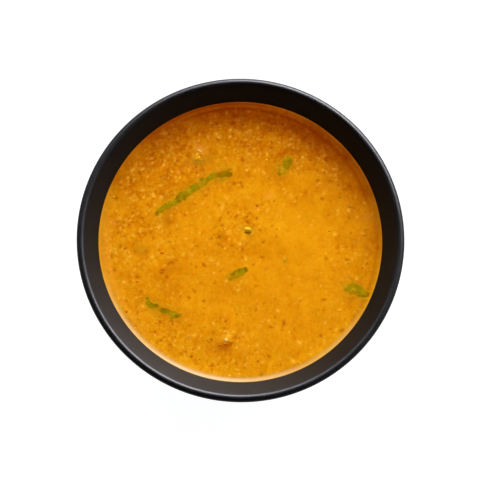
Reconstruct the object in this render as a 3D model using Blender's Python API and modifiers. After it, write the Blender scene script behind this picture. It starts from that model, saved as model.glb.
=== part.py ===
"""Bowl of sambar.

A turned stoneware bowl with a rounded lip and a foot ring, the lentil stew that
fills it to just under the lip, and the five pieces of green herb that lie in the
stew's surface. Metres, +Z up, origin at the centre of the foot's underside.
"""
import math

import bmesh
import bpy

# ---------------------------------------------------------------- sizes (metres)
STEPS = 64  # facets round every turned shape

RIM_R = 0.0750  # outside radius of the bowl
BOWL_H = 0.0550  # foot to the top of the lip
LIP_R = 0.00195  # the lip is a half round
WALL_SLOPE = math.radians(51.0)  # of the inside wall where it meets the lip
FLOOR_Z = 0.0082  # inside floor at the middle
FLOOR_REACH = 0.044  # how far the floor's flatness carries outwards
WALL_REACH = 0.030  # how far the lip's slope carries down the wall
WALL_SWELL = 0.0011  # the wall is this much thicker low down than at the lip

FOOT_R = 0.0335  # outside of the foot ring
FOOT_WIDTH = 0.0050
FOOT_DRAFT = 0.0007  # the ring widens upwards by this
FOOT_EDGE = 0.0007  # rounding of the ring's two lower edges
FOOT_FILLET = 0.0016  # where the ring meets the belly
RECESS_Z = 0.0032  # the underside inside the ring

GAP = 0.0003  # between pieces that touch
LEVEL_Z = 0.0452  # level surface of the stew
CREEP_H = 0.0015  # how high the stew creeps up the wall at its edge
CREEP_W = 0.0048  # over this width
SOUP_RINGS = (0.0, 0.016, 0.032, 0.047, 0.058)  # rings across the level part

# Each herb piece is a thin leaf strip lying in the surface, given by its two ends,
# its sideways bow and sway, its width and how it swells along its length.
HERBS = {
    "green_sliver": dict(
        start=(-0.0397, 0.0120), end=(-0.0035, 0.0314), bow=0.0024, sway=-0.00090,
        width=0.0036, blunt=0.30, swell=0.12, swell_at=0.50, swell_len=0.30,
        thick=0.0009, arch=0.0005, lift=0.0003, cells=24, color=(0.36, 0.36, 0.04)),
    "green_leaf_right": dict(
        start=(0.0476, -0.0226), end=(0.0570, -0.0248), bow=-0.0002, sway=0.0002,
        width=0.0054, blunt=0.45, swell=0.15, swell_at=0.28, swell_len=0.25,
        thick=0.0009, arch=0.0004, lift=0.0001, cells=10, color=(0.37, 0.33, 0.03)),
    "green_stem_left": dict(
        start=(-0.0434, -0.0274), end=(-0.0266, -0.0350), bow=-0.0020, sway=0.0002,
        width=0.0034, blunt=0.35, swell=0.10, swell_at=0.75, swell_len=0.20,
        thick=0.0009, arch=0.0004, lift=0.0001, cells=13, color=(0.35, 0.33, 0.03)),
    "green_leaf_centre": dict(
        start=(-0.0060, -0.0179), end=(0.0034, -0.0134), bow=0.0003, sway=0.0002,
        width=0.0034, blunt=0.40, swell=0.10, swell_at=0.70, swell_len=0.20,
        thick=0.0009, arch=0.0004, lift=0.0002, cells=10, color=(0.34, 0.36, 0.03)),
    "green_leaf_far": dict(
        start=(0.0171, 0.0311), end=(0.0229, 0.0402), bow=-0.0002, sway=0.0002,
        width=0.0040, blunt=0.50, swell=0.10, swell_at=0.70, swell_len=0.25,
        thick=0.0009, arch=0.0003, lift=0.0000, cells=10, color=(0.34, 0.30, 0.04)),
}
HERB_CELLS_ACROSS = 4


# ---------------------------------------------------------------- scene helpers
def clear_scene():
    for ob in list(bpy.data.objects):
        bpy.data.objects.remove(ob, do_unlink=True)


def collection(name):
    col = bpy.data.collections.new(name)
    bpy.context.scene.collection.children.link(col)
    return col


def material(name, color, roughness, metallic=0.0):
    mat = bpy.data.materials.new(name)
    mat.use_nodes = True
    bsdf = mat.node_tree.nodes["Principled BSDF"]
    bsdf.inputs["Base Color"].default_value = (*color, 1.0)
    bsdf.inputs["Roughness"].default_value = roughness
    bsdf.inputs["Metallic"].default_value = metallic
    mat.diffuse_color = (*color, 1.0)
    return mat


def add_object(name, mesh, col, mat=None):
    ob = bpy.data.objects.new(name, mesh)
    col.objects.link(ob)
    if mat is not None:
        mesh.materials.append(mat)
    return ob


def as_cutter(ob):
    ob.hide_render = True
    ob.display_type = "WIRE"
    return ob


# ---------------------------------------------------------------- turned shapes
def turned(name, profile, col, mat):
    """A solid of revolution: the profile runs up the inside and down the outside."""
    mesh = bpy.data.meshes.new(name)
    mesh.from_pydata([(r, 0.0, z) for r, z in profile],
                     [(i, i + 1) for i in range(len(profile) - 1)], [])
    ob = add_object(name, mesh, col, mat)
    screw = ob.modifiers.new("Turn", "SCREW")
    screw.axis = "Z"
    screw.angle = 2.0 * math.pi
    screw.steps = STEPS
    screw.render_steps = STEPS
    screw.use_merge_vertices = True
    screw.merge_threshold = 0.00001
    screw.use_smooth_shade = True
    return ob


def arc(cx, cz, r, a0, a1, n):
    """n + 1 points of a circle from angle a0 to a1, in degrees."""
    out = []
    for i in range(n + 1):
        a = math.radians(a0 + (a1 - a0) * i / n)
        out.append((cx + r * math.cos(a), cz + r * math.sin(a)))
    return out


LIP_C = (RIM_R - LIP_R, BOWL_H - LIP_R)  # centre of the lip's half round


def inner_wall(t):
    """The inside of the bowl and its slope, from the middle (t = 0) to the lip (t = 1)."""
    sx, sz = math.cos(WALL_SLOPE), math.sin(WALL_SLOPE)
    top = (LIP_C[0] - LIP_R * sz, LIP_C[1] + LIP_R * sx)
    p = ((0.0, FLOOR_Z), (FLOOR_REACH, FLOOR_Z),
         (top[0] - WALL_REACH * sx, top[1] - WALL_REACH * sz), top)
    s = 1.0 - t
    w = (s ** 3, 3 * s * s * t, 3 * s * t * t, t ** 3)
    d = (s * s, 2 * s * t, t * t)
    r = sum(w[i] * p[i][0] for i in range(4))
    z = sum(w[i] * p[i][1] for i in range(4))
    dr = sum(d[i] * (p[i + 1][0] - p[i][0]) for i in range(3))
    dz = sum(d[i] * (p[i + 1][1] - p[i][1]) for i in range(3))
    return r, z, math.atan2(dz, dr)


def off_wall(t, distance):
    """A point at a distance from the inside wall: positive goes into the clay."""
    r, z, a = inner_wall(t)
    return r + distance * math.sin(a), z - distance * math.cos(a)


def outer_wall(t):
    return off_wall(t, 2.0 * LIP_R + WALL_SWELL * math.sin(0.5 * math.pi * (1.0 - t)))


def t_where(f, low, high, rising=True):
    """Bisection for f(t) = 0."""
    for _ in range(60):
        mid = 0.5 * (low + high)
        if (f(mid) > 0.0) == rising:
            high = mid
        else:
            low = mid
    return 0.5 * (low + high)


def bowl_profile():
    pts = [inner_wall(t)[:2] for t in (0.0, 0.12, 0.22, 0.32, 0.42, 0.52, 0.63, 0.75, 0.88)]
    slope = math.degrees(WALL_SLOPE)
    pts += arc(*LIP_C, LIP_R, 90.0 + slope, slope - 90.0, 12)
    # down the outside to where the foot ring's fillet begins
    foot_top_r = FOOT_R + FOOT_DRAFT
    t_foot = t_where(lambda t: outer_wall(t)[0] - (foot_top_r + FOOT_FILLET), 0.05, 0.8)
    n = 8
    for i in range(1, n + 1):
        pts.append(outer_wall(1.0 + (t_foot - 1.0) * i / n))
    # the fillet: a quarter turn from the belly into the ring's side
    r0, z0 = pts[-1]
    pts.append((foot_top_r + 0.35 * FOOT_FILLET, z0 - 0.75 * FOOT_FILLET))
    pts.append((foot_top_r, z0 - 1.7 * FOOT_FILLET))
    # the ring: side, rounded edge, flat foot, rounded edge, inside, recess
    pts += arc(FOOT_R - FOOT_EDGE, FOOT_EDGE, FOOT_EDGE, 0.0, -90.0, 2)
    foot_in = FOOT_R - FOOT_WIDTH
    pts += arc(foot_in + FOOT_EDGE, FOOT_EDGE, FOOT_EDGE, -90.0, -180.0, 2)
    pts.append((foot_in - FOOT_DRAFT, RECESS_Z - 0.0006))
    pts.append((foot_in - FOOT_DRAFT - 0.0012, RECESS_Z))
    pts.append((0.0, RECESS_Z))
    return pts


def soup_profile():
    """Up to down: across the level top, over the creep at the edge, down the wall."""
    # the stew ends where its surface, risen by the creep, is a gap short of the wall
    edge_z = LEVEL_Z + CREEP_H
    t_edge = t_where(lambda t: off_wall(t, -GAP)[1] - edge_z, 0.3, 1.0)
    edge_r = off_wall(t_edge, -GAP)[0]
    pts = [(r, LEVEL_Z) for r in SOUP_RINGS]
    for k in (0.0, 0.45, 0.75, 0.92):
        pts.append((edge_r - CREEP_W * (1.0 - k), LEVEL_Z + CREEP_H * k ** 2.6))
    n = 9
    t_low = 0.10
    for i in range(n):
        pts.append(off_wall(t_edge + (t_low - t_edge) * i / (n - 1), -GAP))
    pts.append((0.0, inner_wall(0.0)[1] + GAP))
    return pts


# ---------------------------------------------------------------- herb pieces
def herb_point(h, u, v, grow):
    """A point of the strip: u along it from 0 to 1, v across it from -1 to 1."""
    (x0, y0), (x1, y1) = h["start"], h["end"]
    length = math.hypot(x1 - x0, y1 - y0)
    dx, dy = (x1 - x0) / length, (y1 - y0) / length
    u_long = (u * (length + 2.0 * grow) - grow) / length
    side = h["bow"] * 4.0 * u * (1.0 - u) + h["sway"] * math.sin(2.0 * math.pi * u)
    round_ends = math.sin(math.pi * (0.04 + 0.92 * u)) ** h["blunt"]
    swell = 1.0 + h["swell"] * math.exp(-((u - h["swell_at"]) / h["swell_len"]) ** 2)
    half = 0.5 * h["width"] * round_ends * swell + grow
    x = x0 + dx * length * u_long - dy * (side + half * v)
    y = y0 + dy * length * u_long + dx * (side + half * v)
    z = (LEVEL_Z + 0.25 * h["thick"] + h["lift"] * math.sin(math.pi * u)
         + h["arch"] * (0.35 - v * v))
    return x, y, z


def herb(name, h, col, mat, grow=0.0):
    """A flat grid shaped into the strip and given its thickness."""
    mesh = bpy.data.meshes.new(name)
    bm = bmesh.new()
    bmesh.ops.create_grid(bm, x_segments=h["cells"], y_segments=HERB_CELLS_ACROSS, size=1.0)
    for v in bm.verts:
        v.co = herb_point(h, 0.5 * (v.co.x + 1.0), v.co.y, grow)
    bmesh.ops.recalc_face_normals(bm, faces=bm.faces)
    if sum(f.normal.z for f in bm.faces) < 0.0:
        bmesh.ops.reverse_faces(bm, faces=bm.faces)
    bm.to_mesh(mesh)
    bm.free()
    mesh.shade_smooth()
    ob = add_object(name, mesh, col, mat)
    solid = ob.modifiers.new("Thickness", "SOLIDIFY")
    solid.thickness = h["thick"] + 2.0 * grow
    solid.offset = 0.0
    return ob


# ---------------------------------------------------------------- build
def main():
    clear_scene()
    parts = collection("bowl_of_sambar")
    cutters = collection("cutters")

    stoneware = material("stoneware_black", (0.017, 0.016, 0.018), 0.42)
    stew = material("sambar", (0.72, 0.30, 0.012), 0.32)

    turned("bowl", bowl_profile(), parts, stoneware)
    soup = turned("sambar", soup_profile(), parts, stew)

    for name, h in HERBS.items():
        herb(name, h, parts, material(name, h["color"], 0.45))
        pocket = as_cutter(herb(name + "_pocket", h, cutters, None, grow=GAP))
        cut = soup.modifiers.new("Round " + name, "BOOLEAN")
        cut.operation = "DIFFERENCE"
        cut.solver = "EXACT"
        cut.object = pocket


main()
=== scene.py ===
"""Looks of the bowl of sambar: a matte black stoneware bowl, the speckled yellow-orange
lentil soup that fills it, and the herbs, grains and spices in its surface.

Metres, +Z up, the same frame as the CAD. The turned shapes repeat the CAD's own
curves at a finer step. Everything random comes from a seeded generator.
"""

import math

import bpy
import numpy as np
from mathutils import Matrix, Vector

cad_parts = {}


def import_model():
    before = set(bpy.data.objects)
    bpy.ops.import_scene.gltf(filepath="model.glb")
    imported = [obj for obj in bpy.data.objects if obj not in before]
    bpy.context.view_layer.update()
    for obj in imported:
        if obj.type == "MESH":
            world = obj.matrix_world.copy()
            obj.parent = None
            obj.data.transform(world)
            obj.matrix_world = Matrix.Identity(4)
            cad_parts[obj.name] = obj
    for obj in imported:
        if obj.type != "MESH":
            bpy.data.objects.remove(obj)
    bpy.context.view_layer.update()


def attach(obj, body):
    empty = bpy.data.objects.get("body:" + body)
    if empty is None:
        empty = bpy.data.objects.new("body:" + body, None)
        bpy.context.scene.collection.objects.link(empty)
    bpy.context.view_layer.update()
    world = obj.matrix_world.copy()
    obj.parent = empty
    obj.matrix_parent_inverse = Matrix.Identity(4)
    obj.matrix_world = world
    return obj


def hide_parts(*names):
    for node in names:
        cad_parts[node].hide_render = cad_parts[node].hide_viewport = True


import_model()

MM = 0.001

# ================================================================ the CAD's curves
RIM_R = 0.0750
BOWL_H = 0.0550
LIP_R = 0.00195
WALL_SLOPE = math.radians(51.0)
FLOOR_Z = 0.0082
FLOOR_REACH = 0.044
WALL_REACH = 0.030
WALL_SWELL = 0.0011
FOOT_R = 0.0335
FOOT_WIDTH = 0.0050
FOOT_DRAFT = 0.0007
FOOT_EDGE = 0.0007
FOOT_FILLET = 0.0016
RECESS_Z = 0.0032
LIP_C = (RIM_R - LIP_R, BOWL_H - LIP_R)

# the soup's surface
LEVEL = 0.04522  # level part
CREEP_H = 0.00153  # rise at the wall
CREEP_L = 0.00165  # distance over which that rise falls to a third


def inner_wall(t):
    """The inside of the bowl and its slope, from the middle (t = 0) to the lip (t = 1)."""
    t = np.asarray(t, float)
    sx, sz = math.cos(WALL_SLOPE), math.sin(WALL_SLOPE)
    top = (LIP_C[0] - LIP_R * sz, LIP_C[1] + LIP_R * sx)
    p = np.array(((0.0, FLOOR_Z), (FLOOR_REACH, FLOOR_Z),
                  (top[0] - WALL_REACH * sx, top[1] - WALL_REACH * sz), top))
    s = 1.0 - t
    w = np.stack((s ** 3, 3 * s * s * t, 3 * s * t * t, t ** 3), -1)
    d = np.stack((s * s, 2 * s * t, t * t), -1)
    pos = w @ p
    der = d @ (p[1:] - p[:-1])
    return pos[..., 0], pos[..., 1], np.arctan2(der[..., 1], der[..., 0])


def off_wall(t, distance):
    """A point at a distance from the inside wall: positive goes into the clay."""
    r, z, a = inner_wall(t)
    return r + distance * np.sin(a), z - distance * np.cos(a)


def outer_wall(t):
    return off_wall(t, 2.0 * LIP_R + WALL_SWELL * np.sin(0.5 * math.pi * (1.0 - np.asarray(t, float))))


def arc(cx, cz, r, a0, a1, n):
    a = np.radians(np.linspace(a0, a1, n + 1))
    return np.stack((cx + r * np.cos(a), cz + r * np.sin(a)), -1)


# ================================================================ small helpers
def smooth(x, low, high):
    x = np.clip((np.asarray(x, float) - low) / (high - low), 0.0, 1.0)
    return x * x * (3.0 - 2.0 * x)


def mesh_object(name, verts, faces, mats, sharp=False):
    mesh = bpy.data.meshes.new(name)
    mesh.from_pydata([tuple(map(float, v)) for v in verts], [], faces)
    mesh.validate()
    mesh.polygons.foreach_set("use_smooth", [not sharp] * len(mesh.polygons))
    mesh.update()
    ob = bpy.data.objects.new(name, mesh)
    bpy.context.scene.collection.objects.link(ob)
    for m in mats if isinstance(mats, (list, tuple)) else [mats]:
        mesh.materials.append(m)
    return ob


def quads_object(name, verts, quads, mats, tris=None):
    """As mesh_object, from arrays, and quick for large meshes."""
    verts = np.asarray(verts, np.float32)
    quads = np.asarray(quads, np.int32)
    tris = np.zeros((0, 3), np.int32) if tris is None else np.asarray(tris, np.int32)
    mesh = bpy.data.meshes.new(name)
    mesh.vertices.add(len(verts))
    mesh.vertices.foreach_set("co", verts.ravel())
    loops = np.concatenate((quads.ravel(), tris.ravel()))
    mesh.loops.add(len(loops))
    mesh.loops.foreach_set("vertex_index", loops)
    starts = np.concatenate((np.arange(len(quads)) * 4, len(quads) * 4 + np.arange(len(tris)) * 3))
    mesh.polygons.add(len(starts))
    mesh.polygons.foreach_set("loop_start", starts.astype(np.int32))
    mesh.polygons.foreach_set("use_smooth", np.ones(len(starts), bool))
    mesh.update(calc_edges=True)
    mesh.validate()
    ob = bpy.data.objects.new(name, mesh)
    bpy.context.scene.collection.objects.link(ob)
    for m in mats if isinstance(mats, (list, tuple)) else [mats]:
        mesh.materials.append(m)
    return ob


def put(ob, name, values):
    """A number for every vertex, which the material reads."""
    a = ob.data.attributes.new(name, "FLOAT", "POINT")
    a.data.foreach_set("value", np.asarray(values, np.float32))


# ---------------------------------------------------------------- noise on a square
CELLS = 640
SPAN = 0.144  # side of the square that the noise covers, centred on the bowl


def band_noise(seed, wavelength, width=0.45):
    """Noise with one size of feature, mean 0 and deviation 1, on the square."""
    rng = np.random.default_rng(seed)
    f = np.fft.rfft2(rng.standard_normal((CELLS, CELLS)))
    ky = np.fft.fftfreq(CELLS, SPAN / CELLS)[:, None]
    kx = np.fft.rfftfreq(CELLS, SPAN / CELLS)[None, :]
    k = np.hypot(kx, ky)
    k[0, 0] = 1e-6
    f *= np.exp(-0.5 * (np.log(k * wavelength) / width) ** 2)
    out = np.fft.irfft2(f, s=(CELLS, CELLS))
    return (out - out.mean()) / out.std()


def sample(field, x, y):
    gx = np.clip((np.asarray(x) / SPAN + 0.5) * CELLS - 0.5, 0, CELLS - 1.001)
    gy = np.clip((np.asarray(y) / SPAN + 0.5) * CELLS - 0.5, 0, CELLS - 1.001)
    ix, iy = gx.astype(int), gy.astype(int)
    fx, fy = gx - ix, gy - iy
    return ((field[iy, ix] * (1 - fx) + field[iy, ix + 1] * fx) * (1 - fy)
            + (field[iy + 1, ix] * (1 - fx) + field[iy + 1, ix + 1] * fx) * fy)


def splat(field, x, y, radius, height, stretch=1.0, turn=0.0, power=2.0):
    """Adds one soft round or oval bump to a field. Lengths in metres."""
    cell = SPAN / CELLS
    reach = int(math.ceil(2.2 * radius * max(stretch, 1.0) / cell)) + 1
    cx, cy = (x / SPAN + 0.5) * CELLS - 0.5, (y / SPAN + 0.5) * CELLS - 0.5
    x0, x1 = max(0, int(cx) - reach), min(CELLS, int(cx) + reach + 2)
    y0, y1 = max(0, int(cy) - reach), min(CELLS, int(cy) + reach + 2)
    if x0 >= x1 or y0 >= y1:
        return
    gy, gx = np.mgrid[y0:y1, x0:x1]
    dx, dy = (gx - cx) * cell, (gy - cy) * cell
    c, s = math.cos(turn), math.sin(turn)
    u = (dx * c + dy * s) / (radius * stretch)
    v = (-dx * s + dy * c) / (radius / stretch)
    d = np.hypot(u, v)
    field[y0:y1, x0:x1] += height * np.exp(-d ** power)


# ---------------------------------------------------------------- material graphs
class Look:
    """A Principled material and short calls for the nodes in front of it."""

    def __init__(self, name, **sockets):
        self.mat = bpy.data.materials.new(name)
        self.mat.use_nodes = True
        self.tree = self.mat.node_tree
        self.bsdf = self.tree.nodes["Principled BSDF"]
        for key, value in sockets.items():
            self.bsdf.inputs[key.replace("_", " ")].default_value = value
        self.coords = self.tree.nodes.new("ShaderNodeTexCoord").outputs["Object"]

    def set(self, name, value):
        if isinstance(value, bpy.types.NodeSocket):
            self.tree.links.new(value, self.bsdf.inputs[name])
        else:
            self.bsdf.inputs[name].default_value = value

    def _in(self, socket, value):
        if isinstance(value, bpy.types.NodeSocket):
            self.tree.links.new(value, socket)
        elif isinstance(value, (tuple, list)) and len(value) == 3 and socket.type == "RGBA":
            socket.default_value = (*value, 1.0)
        else:
            socket.default_value = value

    def noise(self, size, detail=2.0, rough=0.5, distort=0.0, seed=0.0, color=False, coords=None):
        """Noise with features of about that size in metres."""
        n = self.tree.nodes.new("ShaderNodeTexNoise")
        n.noise_dimensions = "4D"
        n.inputs["W"].default_value = seed
        n.inputs["Scale"].default_value = 1.0 / size
        n.inputs["Detail"].default_value = detail
        n.inputs["Roughness"].default_value = rough
        n.inputs["Distortion"].default_value = distort
        self.tree.links.new(coords or self.coords, n.inputs["Vector"])
        return n.outputs["Color" if color else "Fac"]

    def cells(self, size, seed=0.0, feature="F1", random=1.0, out="Distance"):
        n = self.tree.nodes.new("ShaderNodeTexVoronoi")
        n.voronoi_dimensions = "4D"
        n.feature = feature
        n.inputs["W"].default_value = seed
        n.inputs["Scale"].default_value = 1.0 / size
        n.inputs["Randomness"].default_value = random
        self.tree.links.new(self.coords, n.inputs["Vector"])
        return n.outputs[out]

    def attr(self, name):
        n = self.tree.nodes.new("ShaderNodeAttribute")
        n.attribute_type = "GEOMETRY"
        n.attribute_name = name
        return n.outputs["Fac"]

    def math(self, op, a, b=0.0, c=None, clamp=False):
        n = self.tree.nodes.new("ShaderNodeMath")
        n.operation = op
        n.use_clamp = clamp
        self._in(n.inputs[0], a)
        self._in(n.inputs[1], b)
        if c is not None:
            self._in(n.inputs[2], c)
        return n.outputs[0]

    def span(self, value, low, high, to_low=0.0, to_high=1.0, kind="SMOOTHSTEP"):
        n = self.tree.nodes.new("ShaderNodeMapRange")
        n.interpolation_type = kind
        n.clamp = True
        self._in(n.inputs["Value"], value)
        for key, v in (("From Min", low), ("From Max", high), ("To Min", to_low), ("To Max", to_high)):
            n.inputs[key].default_value = v
        return n.outputs["Result"]

    def mix(self, fac, a, b, kind="MIX"):
        n = self.tree.nodes.new("ShaderNodeMix")
        n.data_type = "RGBA"
        n.blend_type = kind
        n.clamp_factor = True
        self._in(n.inputs[0], fac)
        self._in(n.inputs[6], a)
        self._in(n.inputs[7], b)
        return n.outputs[2]

    def ramp(self, fac, *stops):
        n = self.tree.nodes.new("ShaderNodeValToRGB")
        els = n.color_ramp.elements
        while len(els) < len(stops):
            els.new(0.5)
        for el, (pos, col) in zip(els, stops):
            el.position = pos
            el.color = (*col, 1.0)
        self._in(n.inputs["Fac"], fac)
        return n.outputs["Color"]

    def split(self):
        n = self.tree.nodes.new("ShaderNodeSeparateXYZ")
        self.tree.links.new(self.coords, n.inputs[0])
        return n.outputs

    def bump(self, height, distance, strength=1.0, under=None):
        n = self.tree.nodes.new("ShaderNodeBump")
        n.inputs["Strength"].default_value = strength
        n.inputs["Distance"].default_value = distance
        self.tree.links.new(height, n.inputs["Height"])
        if under is not None:
            self.tree.links.new(under, n.inputs["Normal"])
        return n.outputs["Normal"]


# ================================================================ materials
def stoneware_look():
    """Matte black glaze over a brown-grey body that shows on the foot."""
    k = Look("stoneware_glaze", Roughness=0.42, IOR=1.4)
    x, y, z = k.split()
    # the glaze: nearly black, a touch cooler and warmer in broad soft areas
    tone = k.noise(0.030, 3.0, 0.55, 0.4, 1.3)
    glaze = k.ramp(tone, (0.30, (0.0058, 0.0060, 0.0072)), (0.52, (0.0073, 0.0074, 0.0087)),
                   (0.75, (0.0092, 0.0091, 0.0104)))
    fine = k.noise(0.00035, 2.0, 0.6, 0.0, 4.0)
    glaze = k.mix(k.span(fine, 0.62, 0.80, 0.0, 0.35), glaze, (0.019, 0.018, 0.019))
    # the bare clay of the foot ring's flat
    edge = k.noise(0.004, 3.0, 0.6, 0.0, 9.0)
    line = k.math("ADD", z, k.math("MULTIPLY", edge, 0.0006))
    bare = k.span(line, 0.00125, 0.00085)
    grit = k.noise(0.0006, 4.0, 0.7, 0.0, 2.0)
    clay = k.ramp(grit, (0.30, (0.060, 0.045, 0.036)), (0.55, (0.120, 0.092, 0.072)),
                  (0.78, (0.215, 0.172, 0.140)))
    k.set("Base Color", k.mix(bare, glaze, clay))
    sheen = k.noise(0.012, 3.0, 0.5, 0.3, 6.0)
    rough = k.span(sheen, 0.3, 0.7, 0.37, 0.42, "LINEAR")
    k.set("Roughness", k.math("MAXIMUM", rough, k.math("MULTIPLY", bare, 0.85)))
    # fine orange peel, soft unevenness of the fired glaze, and the turning lines
    peel = k.bump(k.noise(0.00060, 2.0, 0.5, 0.0, 11.0), 0.000012)
    soft = k.bump(k.noise(0.0090, 2.0, 0.5, 0.5, 12.0), 0.00016, 1.0, peel)
    n = k.tree.nodes.new("ShaderNodeTexNoise")
    n.noise_dimensions = "1D"
    n.inputs["Scale"].default_value = 900.0
    n.inputs["Detail"].default_value = 3.0
    k.tree.links.new(z, n.inputs["W"])
    turned = k.bump(n.outputs["Fac"], 0.000035, 1.0, soft)
    k.set("Normal", turned)
    return k.mat


def stew_look():
    """Golden orange soup with oil, ground spice and lentil in it."""
    k = Look("sambar_soup", IOR=1.38, Specular_IOR_Level=0.03)
    k.set("Subsurface Weight", k.math("MULTIPLY", k.attr("deep"), 0.30))
    k.set("Subsurface Radius", (1.0, 0.35, 0.10))
    k.set("Subsurface Scale", 0.0012)
    broad = k.noise(0.011, 3.0, 0.55, 0.6, 3.0)
    middle = k.noise(0.0042, 2.0, 0.55, 0.8, 7.0)
    small = k.noise(0.0020, 2.0, 0.60, 0.5, 9.0)
    busy = k.attr("busy")
    # the share of the ramp: the listed tone patches, which also carry painted shade, then mottle that is stronger where
    # it is busy
    mood = k.math("MULTIPLY_ADD", k.attr("tone"), 0.42, 0.49)
    mood = k.math("MULTIPLY_ADD", k.math("SUBTRACT", broad, 0.5), 0.32, mood)
    mottle = k.math("MULTIPLY_ADD", k.math("SUBTRACT", middle, 0.5), 0.85,
                    k.math("MULTIPLY", k.math("SUBTRACT", small, 0.5), 0.70))
    mood = k.math("MULTIPLY_ADD", mottle, k.math("MULTIPLY_ADD", busy, 0.60, 0.36), mood)
    base = k.ramp(mood, (0.05, (0.620, 0.270, 0.0002)), (0.28, (0.712, 0.368, 0.0020)),
                  (0.50, (0.787, 0.460, 0.0070)), (0.72, (0.842, 0.528, 0.0122)), (0.95, (0.883, 0.595, 0.0210)))
    # soft translucent pinkish places
    soft = k.span(k.noise(0.0070, 2.0, 0.5, 0.8, 17.0), 0.54, 0.74, 0.0, 0.20)
    base = k.mix(soft, base, (0.850, 0.480, 0.0420))
    # small shifts of hue, from orange to a greener yellow
    hue = k.noise(0.0030, 2.0, 0.60, 0.4, 27.0)
    base = k.mix(k.span(hue, 0.50, 0.76, 0.0, 0.40), base, (0.780, 0.545, 0.0090))
    base = k.mix(k.span(hue, 0.50, 0.24, 0.0, 0.40), base, (0.800, 0.380, 0.0040))
    # fine ground spice
    grain = k.noise(0.0012, 2.0, 0.55, 0.3, 13.0)
    dark = k.math("MULTIPLY", k.span(grain, 0.50, 0.22), k.math("MULTIPLY_ADD", busy, 0.44, 0.13))
    base = k.mix(dark, base, (0.640, 0.190, 0.0001))
    pale = k.math("MULTIPLY", k.span(grain, 0.50, 0.78), k.math("MULTIPLY_ADD", busy, 0.44, 0.13))
    base = k.mix(pale, base, (0.885, 0.680, 0.0850))
    # sunk lentil grains, sunk dark bits, oil film and listed soft stains; these fields also carry painted highlights,
    # sheen and shade along the edge, and a painted shadow below one grain
    base = k.mix(k.math("MINIMUM", k.attr("sunk_pale_and_glint"), 1.0), base, (0.940, 0.685, 0.0860))
    base = k.mix(k.math("MINIMUM", k.attr("sunk_dark_and_shade"), 1.0), base, (0.470, 0.120, 0.0001))
    base = k.mix(k.math("MINIMUM", k.attr("oil_and_shade"), 1.0), base, (0.560, 0.200, 0.0020))
    base = k.mix(k.math("MINIMUM", k.attr("olive"), 1.0), base, (0.500, 0.400, 0.0200))
    base = k.mix(k.math("MINIMUM", k.attr("pink"), 1.0), base, (0.860, 0.500, 0.0700))
    # darker where the slope meets the wall, most on the near side: partly the dark clay through the thin soup, partly
    # painted shade
    base = k.mix(k.math("MULTIPLY", k.attr("thin"), 0.68), base, (0.030, 0.014, 0.0020))
    # painted highlight: the pale band where the slope at the near side mirrors the light
    base = k.mix(k.math("MINIMUM", k.attr("rim_highlight"), 1.0), base, (0.620, 0.520, 0.360))
    k.set("Base Color", base)
    # the slope is a wider-spread gloss than the level part
    wet = k.noise(0.0060, 3.0, 0.5, 0.3, 21.0)
    rough = k.span(wet, 0.3, 0.7, 0.22, 0.28, "LINEAR")
    k.set("Roughness", k.math("MULTIPLY_ADD", k.attr("rim"), 0.06, rough))
    low = k.bump(k.noise(0.0021, 2.0, 0.55, 0.2, 31.0), 0.00001)
    k.set("Normal", k.bump(grain, 0.000003, 1.0, low))
    return k.mat


def herb_look():
    """Boiled green leaf and stalk, wet, with soup over parts of it."""
    k = Look("green_herb", Roughness=0.34, IOR=1.33, Specular_IOR_Level=0.03)
    k.set("Subsurface Weight", 0.25)
    k.set("Subsurface Radius", (0.8, 0.9, 0.2))
    k.set("Subsurface Scale", 0.0006)
    shade = k.attr("shade")  # 0 dark olive .. 1 pale yellow
    fibre = k.noise(0.0010, 2.0, 0.6, 0.5, 5.0)
    fine = k.math("SUBTRACT", fibre, 0.5)
    value = k.math("MULTIPLY_ADD", fine, 0.95, shade)
    leaf = k.ramp(value, (0.00, (0.300, 0.210, 0.0004)), (0.25, (0.370, 0.280, 0.0012)), (0.50, (0.455, 0.362, 0.0040)),
                  (0.75, (0.560, 0.445, 0.0110)), (1.00, (0.690, 0.560, 0.0500)))
    green = k.ramp(value, (0.00, (0.250, 0.235, 0.0004)), (0.50, (0.380, 0.385, 0.0020)), (1.00, (0.590, 0.565, 0.0180)))
    leaf = k.mix(k.attr("green"), leaf, green)
    leaf = k.mix(k.attr("brown"), leaf, (0.430, 0.235, 0.0020))
    patchy = k.noise(0.0016, 2.0, 0.6, 0.4, 8.0)
    cover = k.math("MULTIPLY", k.attr("film"), k.span(patchy, 0.25, 0.75, 0.70, 1.30, "LINEAR"), clamp=True)
    k.set("Base Color", k.mix(cover, leaf, (0.800, 0.450, 0.0060)))
    k.set("Normal", k.bump(fibre, 0.00001))
    return k.mat


def grain_look():
    """Pale yellow lentil grain, coated by the soup near its waterline."""
    k = Look("lentil_grain", IOR=1.33, Specular_IOR_Level=0.03)
    k.set("Subsurface Weight", 0.3)
    k.set("Subsurface Radius", (1.0, 0.45, 0.10))
    k.set("Subsurface Scale", 0.0010)
    shade = k.attr("shade")
    speck = k.noise(0.0008, 2.0, 0.6, 0.3, 2.0)
    value = k.math("ADD", shade, k.math("MULTIPLY_ADD", speck, 0.30, -0.15))
    # the near-white top stops paint the bubble's glint, and give the onion bit its whitish colour
    color = k.ramp(value, (0.05, (0.850, 0.530, 0.0150)), (0.45, (0.880, 0.590, 0.0260)),
                   (0.80, (0.900, 0.660, 0.0500)), (0.97, (0.910, 0.730, 0.1200)),
                   (1.0, (0.940, 0.800, 0.3400)))
    k.set("Base Color", k.mix(k.attr("film"), color, (0.820, 0.470, 0.0060)))
    k.set("Roughness", k.span(speck, 0.3, 0.7, 0.26, 0.36, "LINEAR"))
    k.set("Normal", k.bump(speck, 0.00002))
    return k.mat


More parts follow.
